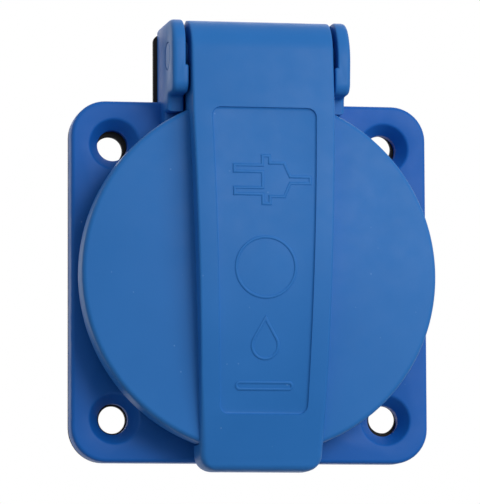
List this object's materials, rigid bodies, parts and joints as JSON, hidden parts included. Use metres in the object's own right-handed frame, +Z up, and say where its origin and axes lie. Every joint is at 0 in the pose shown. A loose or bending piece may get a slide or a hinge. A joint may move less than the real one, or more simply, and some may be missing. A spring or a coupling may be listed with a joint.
{
  "type": "panel mount schuko socket",
  "caption": "Square panel socket with a round plug well, side earth clips, rear terminals and a sprung hinged lid that seals the well.",
  "frame": {"origin": "on the plug axis, at the panel face, which is the rear face of the gasket", "axes": "+X right as seen by the user, +Y into the panel, +Z up towards the hinge"},
  "size_m": [0.05, 0.0472, 0.0622],
  "materials": {
    "blue_plastic": "satin",
    "black_rubber": "matte",
    "black_plastic": "matte",
    "spring_steel": "drawn",
    "zinc_plated_steel": "plated",
    "nickel_plated_brass": "plated",
    "brass": "machined",
    "bronze": "rolled"
  },
  "bodies": {
    "housing": {"socket_housing": "blue_plastic", "panel_gasket": "black_rubber", "hinge_pin": "blue_plastic", "closing_spring": "spring_steel", "contact_carrier": "black_plastic", "line_contact": "bronze", "neutral_contact": "bronze", "line_contact_clip": "spring_steel", "neutral_contact_clip": "spring_steel", "line_terminal": "brass", "neutral_terminal": "brass", "earth_terminal": "brass", "line_screw": "zinc_plated_steel", "neutral_screw": "zinc_plated_steel", "earth_screw": "zinc_plated_steel", "earth_bracket": "nickel_plated_brass", "carrier_screw_upper": "zinc_plated_steel", "carrier_screw_lower": "zinc_plated_steel"},
    "lid": {"hinged_lid": "blue_plastic", "lid_seal": "black_rubber"}
  },
  "joints": [
    {"name": "lid_hinge", "type": "hinge", "parent": "housing", "child": "lid", "pos_m": [0, -0.0097, 0.0306], "axis": [-1, 0, 0], "range_deg": [0, 120], "stiffness_Nm_per_rad": 0.024, "springref_deg": -71.62, "deforming": ["closing_spring"]}
  ]
}
